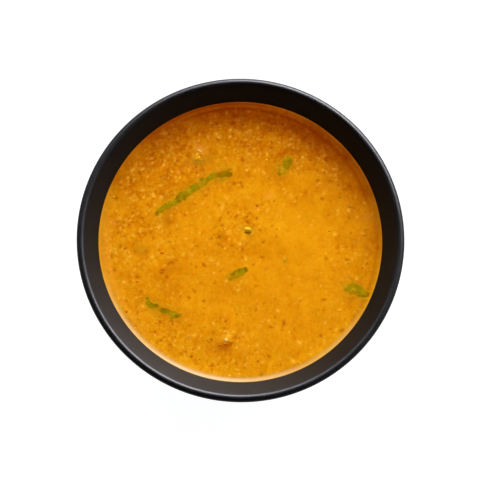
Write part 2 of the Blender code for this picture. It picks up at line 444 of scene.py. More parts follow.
def speck_look():
    """Dark ground spice, seed coats and red chilli."""
    k = Look("spice_speck", Roughness=0.60, IOR=1.33, Specular_IOR_Level=0.02)
    shade = k.attr("shade")
    speck = k.noise(0.0007, 2.0, 0.6, 0.2, 3.0)
    value = k.math("ADD", shade, k.math("MULTIPLY_ADD", speck, 0.24, -0.12))
    color = k.ramp(value, (0.05, (0.260, 0.070, 0.0001)), (0.40, (0.390, 0.120, 0.0001)),
                   (0.70, (0.520, 0.190, 0.0002)), (1.0, (0.640, 0.240, 0.0002)))
    k.set("Base Color", k.mix(k.attr("film"), color, (0.760, 0.410, 0.0050)))
    k.set("Normal", k.bump(speck, 0.00002))
    return k.mat


STONEWARE = stoneware_look()
STEW = stew_look()
HERB = herb_look()
GRAIN = grain_look()
SPECK = speck_look()


# ================================================================ the bowl
def bowl_profile():
    """Up the inside, over the lip and down the outside to the middle of the underside."""
    parts = [np.stack(inner_wall(np.concatenate((np.linspace(0.0, 0.62, 16), np.linspace(0.64, 0.995, 44))))[:2], -1)]
    slope = math.degrees(WALL_SLOPE)
    parts.append(arc(*LIP_C, LIP_R, 90.0 + slope, slope - 90.0, 30))
    foot_top_r = FOOT_R + FOOT_DRAFT
    low, high = 0.05, 0.8
    for _ in range(60):
        mid = 0.5 * (low + high)
        if outer_wall(mid)[0] > foot_top_r + FOOT_FILLET:
            high = mid
        else:
            low = mid
    t_foot = 0.5 * (low + high)
    parts.append(np.stack(outer_wall(np.linspace(1.0, t_foot, 60)[1:]), -1))
    r0, z0 = parts[-1][-1]
    # the fillet between belly and foot ring, as a smooth curve through the CAD's points
    s = np.linspace(0.0, 1.0, 9)[1:]
    p0, p1 = np.array((r0, z0)), np.array((foot_top_r + 0.05 * FOOT_FILLET, z0 - 0.45 * FOOT_FILLET))
    p2 = np.array((foot_top_r, z0 - 1.7 * FOOT_FILLET))
    parts.append(((1 - s) ** 2)[:, None] * p0 + (2 * s * (1 - s))[:, None] * p1 + (s ** 2)[:, None] * p2)
    parts.append(arc(FOOT_R - FOOT_EDGE, FOOT_EDGE, FOOT_EDGE, 0.0, -90.0, 7))
    foot_in = FOOT_R - FOOT_WIDTH
    parts.append(arc(foot_in + FOOT_EDGE, FOOT_EDGE, FOOT_EDGE, -90.0, -180.0, 7))
    corner = arc(foot_in - FOOT_DRAFT - 0.0012, RECESS_Z - 0.0008, 0.0008, 0.0, 90.0, 5)
    corner[:, 0] += np.linspace(0.0004, 0.0, 6)
    parts.append(corner)
    parts.append(np.array([(r, RECESS_Z) for r in (0.022, 0.016, 0.009, 0.0)]))
    return np.concatenate(parts)


def make_bowl():
    prof = bowl_profile()
    prof[0, 0] = prof[-1, 0] = 0.0
    steps = 288
    ang = np.linspace(0.0, 2.0 * math.pi, steps, endpoint=False)
    ring = prof[1:-1]
    r = np.repeat(ring[:, 0][:, None], steps, 1)
    z = np.repeat(ring[:, 1][:, None], steps, 1)
    a = ang[None, :]
    # a thrown bowl is never quite round: always inwards, at most 0.2 mm
    wave = (0.5 + 0.5 * np.sin(2 * a + 0.7)) * 0.5 + (0.5 + 0.5 * np.sin(3 * a + 2.1)) * 0.3 \
        + (0.5 + 0.5 * np.sin(7 * a + 1.2)) * 0.12 + (0.5 + 0.5 * np.sin(13 * a + 4.0)) * 0.08
    high = smooth(z, 0.035, 0.055)
    r -= 0.00010 * wave * (0.3 + 0.7 * high)
    z -= 0.00006 * (0.5 + 0.5 * np.sin(5 * a + 0.4)) * smooth(z, 0.051, 0.055)
    x, y = r * np.cos(a), r * np.sin(a)
    verts = [(0.0, 0.0, prof[0, 1])]
    body = np.stack((x, y, z), -1).reshape(-1, 3)
    n = len(ring)
    idx = 1 + np.arange(n * steps).reshape(n, steps)
    nxt = np.roll(idx, -1, axis=1)
    quads = np.stack((idx[:-1], nxt[:-1], nxt[1:], idx[1:]), -1).reshape(-1, 4)
    first = np.stack((np.zeros(steps, int), nxt[0], idx[0]), -1)[:, ::-1]
    end = 1 + n * steps
    last = np.stack((np.full(steps, end), idx[-1], nxt[-1]), -1)[:, ::-1]
    verts = np.concatenate((np.array(verts), body, [(0.0, 0.0, prof[-1, 1])]))
    ob = quads_object("bowl_visual", verts, quads, STONEWARE, np.concatenate((first, last)))
    return ob


bowl = make_bowl()
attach(bowl, "root")
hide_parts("bowl")


# ================================================================ where things are
# Busy areas, where more grains and specks show: x, y, radius (mm) and how much.
BUSY = [(-36, 12, 16, 0.10), (-56, 0, 13, 0.50), (-28, 42, 15, 0.75), (6, 55, 17, 0.95), (-46, 28, 13, 0.60), (-48, -25, 13, 0.15),
        (-38, -42, 14, 0.60), (-8, -52, 13, 0.55), (36, 42, 17, 0.70), (0, 5, 10, 0.60), (14, 16, 8, 0.35), (55, -6, 9, 0.35),
        (-20, -8, 9, 0.20), (38, -36, 14, 0.10)]
CALM = [(30, 12, 20, 0.60), (18, -18, 18, 0.45), (-16, -26, 14, 0.60), (26, -4, 20, 0.3), (-20, 12, 11, 0.55),
        (-40, -24, 8, 0.45), (16, 28, 9, 0.30)]

# Lentil grains that stand out: x, y, half length, half width (mm), turn (degrees), paleness.
PALE_AT = [
    (-50, 18.4, 0.95, 0.75, 30, 0.98), (-50.1, 27.9, 0.8, 0.6, 70, 0.85), (-52, 27.7, 0.6, 0.5, 10, 0.8),
    (-48.8, 35.5, 0.8, 0.6, 40, 0.8), (-35.8, 37.5, 0.85, 0.62, 120, 0.85), (-28.3, 40.6, 0.9, 0.6, 15, 0.8),
    (-31.6, 41.3, 0.62, 0.5, 60, 0.75), (-60.1, 8.4, 0.75, 0.55, 70, 0.85), (-22.7, -7.2, 0.9, 0.7, 25, 0.85),
    (-13.9, -8.9, 0.85, 0.62, 80, 0.88), (-4.9, 3.8, 1, 0.62, 115, 0.72), (-38, -21.5, 0.85, 0.65, 110, 0.8),
    (6.4, 49.1, 0.75, 0.55, 30, 0.8), (8.3, 54.2, 0.7, 0.5, 80, 0.82), (11.5, 55.9, 0.7, 0.52, 10, 0.85),
    (14.4, 59, 0.75, 0.5, 160, 0.98), (36.7, 26.6, 1.3, 0.45, 35, 0.8), (40, 31.9, 0.7, 0.5, 60, 0.78),
    (42.3, 30.9, 0.65, 0.48, 20, 0.75), (23.5, 20.6, 0.72, 0.52, 80, 0.78), (28, 21.6, 0.68, 0.5, 40, 0.74),
    (58.1, -6.9, 0.72, 0.55, 90, 0.8), (50.1, -10.2, 0.7, 0.5, 15, 0.78), (57.8, -10.2, 0.66, 0.48, 60, 0.8),
    (27.3, -27.4, 0.75, 0.52, 35, 0.76), (38.1, -46.8, 0.78, 0.55, 80, 0.78),
    (20.3, -8.4, 0.8, 0.5, 120, 0.85), (0.6, -17, 0.62, 0.5, 40, 0.96), (2.5, -12.2, 0.78, 0.55, 10, 0.98),
    (2.5, -19.6, 0.62, 0.45, 70, 0.74), (-1, 4.9, 0.75, 0.42, 165, 0.8), (-20.7, 40.1, 2.0, 0.95, 38, 0.62),
    (-17, 27, 0.75, 0.5, 30, 0.92), (-31.6, 18.9, 0.7, 0.5, 20, 0.98), (-48.3, -40.8, 0.8, 0.6, 30, 0.72),
    (-21, -44, 0.8, 0.55, 75, 0.72), (8.5, -40, 0.8, 0.55, 15, 0.68), (45, 12.4, 0.8, 0.55, 55, 0.72),
    (-22, 54.2, 0.75, 0.55, 20, 0.74), (-52.8, -7.4, 0.5, 0.45, 20, 1), (-50.5, -7.6, 0.8, 0.45, 10, 0.88),
    (-52.4, -9.4, 0.55, 0.48, 70, 0.95), (-51.6, -10, 0.5, 0.42, 20, 0.92),
    (-53.5, -10.7, 0.5, 0.42, 60, 0.88), (-52.8, -8.6, 0.45, 0.4, 0, 0.92), (-54, -6.7, 0.48, 0.4, 40, 0.9),
    (-58.4, -4.5, 1.25, 0.95, 75, 0.62), (-57.6, -9, 0.8, 0.58, 30, 0.75), (-38.3, 5.5, 1.35, 0.85, 80, 0.92),
    (-41.4, 5.3, 0.8, 0.55, 30, 0.85), (-36.5, 3.9, 0.85, 0.48, 75, 0.75), (-53.2, 9.6, 0.75, 0.6, 20, 0.75),
    (-55.9, 9.8, 1.15, 0.75, 70, 0.55), (-53.7, 7, 0.7, 0.45, 160, 0.75), (-47, -11.5, 0.75, 0.55, 20, 0.72),
    (-38.2, -6.5, 0.85, 0.62, 60, 0.72), (-34.5, -6.6, 0.85, 0.6, 20, 0.7), (-36.3, -0.8, 0.9, 0.65, 80, 0.7),
    (-54.5, -19.5, 0.95, 0.75, 40, 0.82), (-60.1, 3.9, 0.6, 0.5, 10, 0.65), (-48.8, -14, 0.8, 0.6, 30, 0.68),
    (-49.8, -16.2, 0.85, 0.65, 160, 0.65), (-35.2, -12, 0.7, 0.5, 40, 0.66), (-57, -1, 0.6, 0.45, 80, 0.66)]

# Dark specks that stand out, as above with a shade that is 0 for the darkest.
DARK_AT = [
    (-39.5, 38.6, 0.52, 0.42, 10, 0.45), (-33, 35.5, 0.5, 0.4, 60, 0.5), (-37.1, 29.8, 0.55, 0.42, 30, 0.4),
    (-33.6, 29.8, 0.5, 0.4, 100, 0.5), (-26.4, 31.3, 0.55, 0.45, 20, 0.45), (-47.4, 32.7, 0.5, 0.4, 70, 0.55),
    (-42.2, 25.5, 0.52, 0.42, 40, 0.5), (-53.4, 24.5, 0.55, 0.42, 10, 0.45), (-43, 16.5, 0.5, 0.42, 80, 0.45),
    (-40.9, 16.5, 0.5, 0.4, 20, 0.5), (-50.9, 16, 0.5, 0.42, 60, 0.5), (-60.7, 21.2, 0.5, 0.4, 50, 0.45),
    (-42.5, 7.1, 0.6, 0.45, 30, 0.35), (-9.1, 10.6, 0.45, 0.36, 70, 0.5), (-8.6, 6.9, 0.58, 0.48, 20, 0.38),
    (-5.8, 12.8, 0.6, 0.48, 90, 0.35), (-9.4, 2, 0.55, 0.75, 0, 0.3), (-13.5, 1, 0.6, 0.42, 60, 0.5),
    (-4, -2.5, 0.55, 0.75, 80, 0.22), (0.8, -1.4, 0.5, 0.45, 0, 0.4), (1, -4, 0.7, 0.5, 80, 0.5),
    (-3.1, -5.4, 0.45, 0.36, 60, 0.6), (-8.4, -3.2, 0.6, 0.42, 150, 0.55), (-2.6, 27.2, 0.5, 0.4, 40, 0.45),
    (-11.9, 27.9, 0.5, 0.4, 80, 0.5), (-20.6, -2.8, 0.5, 0.42, 20, 0.5), (0.9, 39.4, 0.5, 0.42, 60, 0.48),
    (0.9, 25.6, 0.5, 0.4, 10, 0.45), (7.7, 16.3, 0.85, 0.7, 0, 0.52), (15.6, 18.5, 0.5, 0.4, 70, 0.4),
    (3, 11.2, 0.8, 0.55, 30, 0.5), (2.7, 9, 0.55, 0.45, 80, 0.52), (24.2, 46.9, 0.5, 0.4, 30, 0.42),
    (27, 42.4, 0.5, 0.42, 100, 0.48), (50.7, 25.7, 0.5, 0.4, 20, 0.45), (45.5, 26.1, 0.48, 0.4, 70, 0.5),
    (40.7, 11.9, 0.5, 0.4, 50, 0.5), (58.3, 4.6, 0.52, 0.42, 10, 0.42), (45.1, -3.7, 0.5, 0.4, 80, 0.48),
    (48.8, -3.2, 0.5, 0.4, 30, 0.5), (15.8, -35.8, 0.5, 0.4, 60, 0.52), (18.9, -41.7, 0.5, 0.42, 20, 0.48),
    (5.9, -11.4, 0.6, 0.45, 30, 0.52), (10, -7.8, 0.9, 0.6, 10, 0.66), (7, -21.4, 0.55, 0.42, 20, 0.55),
    (9, 4.6, 0.75, 0.5, 160, 0.6), (10.6, -0.8, 0.8, 0.6, 40, 0.66), (-12, -20, 0.6, 0.45, 70, 0.6),
    (-55.5, -3, 0.95, 0.6, 80, 0.62), (-53.4, -3.9, 0.8, 0.55, 20, 0.5), (-59.5, -7.4, 0.95, 0.6, 70, 0.6),
    (-31.8, -10.4, 0.8, 0.7, 10, 0.45), (-29.7, -9.5, 0.55, 0.5, 0, 0.5), (-32.8, -0.8, 0.75, 0.4, 170, 0.45),
    (-56.8, 3.5, 0.55, 0.5, 0, 0.55), (-53.7, 1.5, 0.55, 0.48, 0, 0.45), (-51.8, 7.2, 0.55, 0.45, 10, 0.5),
    (-54.3, 6.1, 0.55, 0.45, 40, 0.55), (-43.6, -5.1, 0.6, 0.5, 70, 0.62), (-36.3, -15, 1.4, 0.9, 10, 0.8),
    (-58.1, -14, 1, 0.6, 110, 0.66)]

# Soft patches of redder (-) or more golden (+) soup: x, y, radius (mm) and how much. Many of the redder ones on the
# far, shaded side are painted shade.
TONES_AND_SHADE = [(-42, 33, 17, -0.42), (-20, 48, 14, -0.34), (4, 56, 14, -0.20), (-33, -14, 6.5, -0.62), (-53, 2, 9, -0.30),
         (3, -6, 4.5, -0.26), (52, 28, 13, -0.34), (40, 42, 13, -0.40), (-10, -49, 6.5, -0.45), (-28, -41, 7, -0.22),
         (-2, 22, 6, -0.16), (-32, 27, 9, -0.12), (-44, -30, 9, -0.16), (60, -2, 6, -0.28),
         (-31, 17, 7, -0.30), (-22, 24, 7, -0.30), (-12, 29, 7, -0.25), (20, 35, 8, -0.22), (51, -18, 5, -0.24),
         (28, 6, 22, 0.42), (-18, 16, 11, 0.24), (-16, -26, 11, 0.22), (30, -28, 12, 0.16), (-44, -48, 12, 0.10),
         (6, 34, 8, 0.10), (-25, 2, 8, 0.10),
         # smaller soft patches: paler, then darker
         (-23, -50, 5.5, 0.58), (52, 30, 5, 0.46), (2, -32, 6, 0.32), (13, -30, 6, 0.32), (-12, -5.5, 5, 0.36),
         (-13, -57, 5, 0.34), (-37, -16, 4.5, 0.28), (61, -8, 4, 0.32), (17, -55, 5, 0.30), (-30, -39, 5, 0.34),
         (25, -52, 5, 0.24), (25, -35.5, 5, 0.28), (13, -44, 5, 0.24), (-21, -10, 4, 0.20),
         (-9, 31, 4, -0.34), (24, 43.5, 5, -0.40), (-37.5, 47, 6, -0.40), (28, 35, 5, -0.40), (-4, 46, 6, -0.40),
         (34, 24, 6, -0.32), (-48, 37, 6, -0.36), (61, 6, 4, -0.30), (15, 57, 5, -0.30), (-17, 57, 6, -0.32),
         (-42, -3.5, 4.5, -0.28), (-48, -39.5, 5, -0.24), (42.5, -29, 5, -0.24), (5, 20, 6, -0.22),
         (-61, -11, 4, -0.24), (-29, -23, 4.5, -0.20), (45, 15, 5, -0.20), (-15, -47.5, 5, 0.34), (-31.5, -53, 5, 0.34),
         (51, 32.5, 4, 0.28), (25, 45, 5, -0.28), (28, 35, 4.5, -0.26), (-36, 49, 6, -0.28), (4, 46, 7, -0.36),
         (15, 45, 5, -0.20), (10, 39, 5, -0.18), (-20.5, 38, 4, -0.22), (-60, 14, 4, -0.26), (7, 4.5, 4, -0.18),
         (61, 6, 4, -0.22), (29, -17, 5, 0.24), (35, -43, 5, 0.20), (-56, 24, 5, -0.20), (1, -40, 5, 0.20),
         (52, 26, 4.5, 0.32), (-31, 54, 5, -0.45), (-23, -51, 5, 0.26), (-9, -47, 5, 0.20), (60, -8.5, 4, 0.20)]


def patches(x, y, spots, start=0.0):
    out = np.full(np.shape(x), float(start))
    for cx, cy, r, k in spots:
        out = out + k * np.exp(-(((x / MM - cx) ** 2 + (y / MM - cy) ** 2) / r ** 2))
    return out


def busy_at(x, y):
    out = patches(x, y, BUSY, 0.36)
    for cx, cy, r, k in CALM:
        out = out * (1 - k * np.exp(-(((x / MM - cx) ** 2 + (y / MM - cy) ** 2) / r ** 2)))
    return np.clip(out, 0.05, 1.0)


# ================================================================ the soup
WALL_T = np.linspace(0.3, 1.0, 3000)


def contact(height, into):
    """Radius and height where a surface at that height meets the wall, that far into the clay."""
    r, z = off_wall(WALL_T, into)
    return np.interp(height, z, r)


SOUP_R = float(contact(LEVEL + CREEP_H, 0.0))  # radius of the soup's edge


# lines along the herbs (mm), how far the tinge reaches from them, and how much
TINGED = [([(-39.0, 12.8), (-31.0, 18.4), (-23.0, 23.8), (-13.0, 30.0), (-4.0, 32.4)], 2.9, 0.11),
          ([(48.0, -22.6), (52.0, -23.6), (58.0, -25.6)], 3.8, 0.12),
          ([(-42.6, -27.0), (-40.8, -30.4), (-35.0, -33.2), (-27.4, -35.0)], 2.8, 0.10),
          ([(-5.6, -18.2), (2.6, -14.2)], 2.6, 0.09),
          ([(17.2, 31.4), (20.6, 35.0), (22.6, 39.6)], 2.8, 0.12)]


def relief():
    """Heights of the soup's surface over its level, and its colour fields, on the square."""
    rng = np.random.default_rng(41)
    h = 0.050 * MM * band_noise(1, 0.030, 0.5)
    h += 0.010 * MM * band_noise(2, 0.0095, 0.45)
    h += 0.0022 * MM * band_noise(3, 0.0040, 0.40)
    fields = {name: np.zeros((CELLS, CELLS)) for name in ("sunk_pale_and_glint", "sunk_dark_and_shade", "oil_and_shade", "olive", "pink", "rim_highlight")}
    # grains and bits just under the surface: many faint ones and few strong ones
    count = 0
    while count < 3600:
        x, y = rng.uniform(-0.066, 0.066, 2)
        busy = float(busy_at(x, y))
        if math.hypot(x, y) > 0.0650 or rng.random() > 0.25 + busy:
            continue
        count += 1
        size = 0.53 * MM * math.exp(0.25 * rng.standard_normal())
        turn, stretch = rng.uniform(0, math.pi), rng.uniform(1.0, 1.5)
        much = min(0.92, 0.182 * rng.exponential() ** 1.5 * (0.50 + 0.95 * busy))
        if rng.random() < 0.56:
            splat(fields["sunk_pale_and_glint"], x, y, size, much * 1.1, stretch, turn, 2.0)
            splat(h, x, y, size * 1.2, 0.010 * MM * much, stretch, turn)
        else:
            splat(fields["sunk_dark_and_shade"], x, y, size, much * 0.85, stretch, turn, 2.0)
            splat(h, x, y, size * 1.2, -0.006 * MM * much, stretch, turn)
    # the listed ones, with the soft halo of what lies just under the surface
    for x, y, long, wide, turn, shade in PALE_AT:
        splat(fields["sunk_pale_and_glint"], x * MM, y * MM, 1.05 * MM * math.sqrt(long * wide), 0.25 + 0.55 * shade,
              math.sqrt(long / wide), math.radians(turn), 2.2)
    for x, y, long, wide, turn, shade in DARK_AT:
        splat(fields["sunk_dark_and_shade"], x * MM, y * MM, 1.10 * MM * math.sqrt(long * wide), 0.85 - 0.45 * shade,
              math.sqrt(long / wide), math.radians(turn), 2.2)
    # the soup is tinged round each herb, by what of it lies deeper
    for line, radius, much in TINGED:
        line = np.array(line, float)
        for a, b in zip(line[:-1], line[1:]):
            for f in np.linspace(0.0, 1.0, max(2, int(np.hypot(*(b - a)) / 1.2)), endpoint=False):
                x, y = (a + (b - a) * f + 0.35 * rng.standard_normal(2)) * MM
                splat(fields["olive"], x, y, radius * MM * rng.uniform(0.8, 1.2), much * rng.uniform(0.6, 1.4), 1.0, 0.0)
    return h, fields


RELIEF, FIELDS = relief()
TONE = 0.13 * band_noise(11, 0.034, 0.5) + 0.12 * band_noise(12, 0.016, 0.5)

# soft stains, listed: field, x, y, radius (mm), strength, stretch, turn (degrees)
STAINS = [
    ("olive", -18.4, 38.0, 4.4, 0.34, 1.6, 6.0),
    ("olive", -46.0, -4.7, 2.6, 0.34, 1.2, 0.0),
    ("olive", -9.5, 1.9, 0.9, 0.60, 1.3, 20.0),
    ("olive", 3.4, 4.8, 2.2, 0.75, 1.25, 170.0),
    ("olive", 3.6, 2.6, 1.3, 0.35, 1.2, 90.0),
    ("olive", 4.6, 0.8, 1.2, 0.22, 1.5, 90.0),
    ("olive", 20.5, -9.8, 1.4, 0.40, 1.3, 60.0),
    ("olive", 46.4, 20.4, 0.8, 0.70, 1.2, 80.0),
    ("olive", -36.0, 8.5, 3.4, 0.16, 1.2, 0.0),
    ("olive", 16.2, 27.6, 1.6, 0.20, 1.4, 40.0),
    ("oil_and_shade", -8.4, -49.8, 2.8, 0.60, 1.25, 20.0),
    ("sunk_dark_and_shade", -6.3, -48.3, 1.3, 0.65, 1.2, 0.0),
    ("sunk_dark_and_shade", -9.3, -48.9, 1.5, 0.45, 1.4, -35.0),
    ("sunk_dark_and_shade", -6.6, -50.6, 1.3, 0.35, 1.4, 80.0),
    ("sunk_pale_and_glint", -6.6, -45.4, 1.7, 0.55, 1.2, 10.0),
    ("olive", -7.2, 32.6, 1.9, 0.42, 1.5, 15.0),
    ("olive", -8.6, 28.4, 1.5, 0.50, 2.0, 6.0),
    ("sunk_dark_and_shade", -8.8, 28.5, 1.3, 0.32, 1.9, 6.0),
    # painted shadow: the dark olive crescent below the pale grain at -20.2, 38.8
    ("olive", -20.3, 36.8, 1.5, 0.55, 1.5, 5.0),
    ("sunk_dark_and_shade", -20.8, 36.4, 0.9, 0.40, 1.3, 0.0),
    ("oil_and_shade", 5.0, 21.5, 1.6, 0.16, 1.2, 0.0),
    ("pink", -18.8, 43.4, 2.4, 0.85, 1.20, 150.0),
    ("pink", 13.3, 20.9, 1.6, 0.75, 1.2, 0.0),
    ("pink", 59.0, 10.8, 1.9, 0.35, 1.3, 70.0),
    ("pink", -58.4, 8.0, 2.2, 0.30, 1.3, 60.0),
    ("pink", -24.6, 35.4, 2.6, 0.16, 1.3, 0.0),
    ("pink", 4.2, 36.4, 2.4, 0.16, 1.2, 80.0),
    ("pink", 39.2, 24.6, 2.2, 0.16, 1.3, 30.0),
    ("pink", -10.6, 32.8, 1.8, 0.25, 1.3, 10.0),
]
for name, x, y, r, k, stretch, turn in STAINS:
    splat(FIELDS[name], x * MM, y * MM, r * MM, k, stretch, math.radians(turn), 2.0)


def meniscus(r, edge):
    """Rise of the surface near the wall."""
    return CREEP_H * np.exp(-(edge - r) / CREEP_L)


def surface(x, y):
    """Height of the soup's surface anywhere inside its edge."""
    r = np.hypot(x, y)
    calm = 1.0 - smooth(r, SOUP_R - 0.0045, SOUP_R - 0.0006)
    return LEVEL + meniscus(np.minimum(r, SOUP_R), SOUP_R) + sample(RELIEF, x, y) * calm


# Bands that follow the wall: radius and half width (mm), from and to (degrees from +X towards +Y) with soft ends, and
# how much. The oil bands paint shade on the far side; the pale, pink and cream bands paint highlights and sheen along
# the slope and the edge.
RINGS = {
    "oil_and_shade": [(62.3, 0.70, 54, 80, 0.85), (62.75, 0.70, 82, 112, 0.88), (61.9, 0.75, 16, 50, 0.50), (63.1, 0.9, -34, 8, 0.33),
            (64.9, 0.6, 78, 132, 0.75), (63.9, 0.6, 48, 70, 0.14)],
    "pink": [(61.6, 1.3, 176, 222, 0.42), (63.2, 1.0, 222, 262, 0.25), (63.9, 1.2, 166, 202, 0.40)],
    "olive": [(64.5, 0.9, 0, 66, 0.30)],
    "sunk_pale_and_glint": [(65.4, 0.35, -20, 92, 0.45), (65.3, 0.4, 160, 350, 0.35)],
    "sunk_dark_and_shade": [],
    "rim_highlight": [(64.8, 1.10, 200, 325, 0.35), (64.8, 1.10, 214, 290, 0.30), (64.8, 1.10, 234, 272, 0.30)],
}
# painted shade: a redder band inside the wall on the far side, in the wall's shadow
RING_SHADE = [(58.5, 5.0, 20, 118, -0.22)]


def ring(x, y, bands):
    out = np.zeros(np.shape(x))
    r, a = np.hypot(x, y) / MM, np.degrees(np.arctan2(y, x))
    for radius, width, start, end, k in bands:
        off = (a - 0.5 * (start + end) + 180.0) % 360.0 - 180.0
        half = 0.5 * (end - start)
        out = out + k * np.exp(-((r - radius) / width) ** 2) * (1.0 - smooth(abs(off), half - 8.0, half + 10.0))
    return out


def make_soup():
    n = 170
    i, j = np.meshgrid(np.arange(-n, n + 1), np.arange(-n, n + 1), indexing="ij")
    k = np.maximum(abs(i), abs(j))
    safe = lambda v: np.where(v == 0, 1, v)
    side = abs(i) >= abs(j)
    ang = np.where(side, j / safe(i) * (math.pi / 4) + np.where(i < 0, math.pi, 0.0),
                   math.pi / 2 - i / safe(j) * (math.pi / 4) + np.where(j < 0, math.pi, 0.0))
    f = k / n
    # rings are closer together near the edge
    share = 0.5 * (f + np.sin(0.5 * math.pi * f)) * 0.6 + f * 0.4
    edge_z = LEVEL + CREEP_H
    edge_r = SOUP_R + 0.00010
    r = share / share.max() * edge_r
    x, y = r * np.cos(ang), r * np.sin(ang)
    z = surface(x, y)
    z = np.where(r > SOUP_R, LEVEL + CREEP_H + (r - SOUP_R) * CREEP_H / CREEP_L, z)
    top = np.stack((x, y, z), -1).reshape(-1, 3)
    size = 2 * n + 1
    idx = np.arange(size * size).reshape(size, size)
    quads = [np.stack((idx[:-1, :-1], idx[1:, :-1], idx[1:, 1:], idx[:-1, 1:]), -1).reshape(-1, 4)]
    # the hidden side and underside, a hair off the clay
    rim = np.concatenate((idx[:-1, 0], idx[-1, :-1], idx[:0:-1, -1], idx[0, :0:-1]))
    rim_a = np.arctan2(top[rim, 1], top[rim, 0])
    t_top = np.interp(edge_z - 0.0004, off_wall(WALL_T, -0.0001)[1], WALL_T)
    verts, last = [top], rim
    start = len(top)
    for t in np.linspace(t_top, 0.12, 12):
        pr, pz = off_wall(t, -0.0001)
        verts.append(np.stack((pr * np.cos(rim_a), pr * np.sin(rim_a), np.full(len(rim), pz)), -1))
        new = start + np.arange(len(rim))
        quads.append(np.stack((last, np.roll(last, -1), np.roll(new, -1), new), -1)[:, ::-1])
        last, start = new, start + len(rim)
    verts.append(np.array([(0.0, 0.0, FLOOR_Z + 0.0001)]))
    tris = np.stack((last, np.roll(last, -1), np.full(len(rim), start)), -1)[:, ::-1]
    verts = np.concatenate(verts)
    ob = quads_object("sambar_visual", verts, np.concatenate(quads), STEW, tris)
    x, y = verts[:, 0], verts[:, 1]
    r = np.hypot(x, y)
    put(ob, "busy", busy_at(x, y) * (1 - 0.5 * smooth(r, SOUP_R - 0.0040, SOUP_R - 0.0010)))
    put(ob, "tone", np.clip(sample(TONE, x, y) + patches(x, y, TONES_AND_SHADE) + ring(x, y, RING_SHADE), -1.1, 1.1))
    put(ob, "deep", 1.0 - smooth(r, SOUP_R - 0.0050, SOUP_R - 0.0005))
    put(ob, "rim", smooth(r, SOUP_R - 0.0048, SOUP_R - 0.0014))
    # strongest on the near side: partly the dark clay through the thin soup there, partly painted shade
    thin = 0.60 * (0.5 - 0.5 * np.cos(np.arctan2(y, x) - math.radians(70.0))) ** 1.45
    put(ob, "thin", smooth(r, SOUP_R - 0.0045, SOUP_R - 0.0004) * thin)
    for name, field in FIELDS.items():
        calm = 1 - 0.6 * smooth(r, SOUP_R - 0.0040, SOUP_R - 0.0008)
        put(ob, name, np.clip(sample(field, x, y) * calm + ring(x, y, RINGS.get(name, ())), 0, 1))
    return ob


soup = make_soup()
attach(soup, "root")
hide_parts("sambar")


# ================================================================ herbs
def curve(points, count):
    """A smooth curve through points (Catmull-Rom), resampled by length."""
    p = np.array(points, float) * MM
    p = np.concatenate(([2 * p[0] - p[1]], p, [2 * p[-1] - p[-2]]))
    out = []
    for k in range(1, len(p) - 2):
        t = np.linspace(0, 1, 24, endpoint=False)[:, None]
        a, b, c, d = p[k - 1], p[k], p[k + 1], p[k + 2]
        out.append(0.5 * (2 * b + (c - a) * t + (2 * a - 5 * b + 4 * c - d) * t ** 2
                          + (3 * b - 3 * c + d - a) * t ** 3))
    out = np.concatenate(out + [p[-2:-1]])
    length = np.concatenate(([0], np.cumsum(np.hypot(*np.diff(out, axis=0).T))))
    s = np.linspace(0, length[-1], count)
    return np.stack((np.interp(s, length, out[:, 0]), np.interp(s, length, out[:, 1])), -1), length[-1]


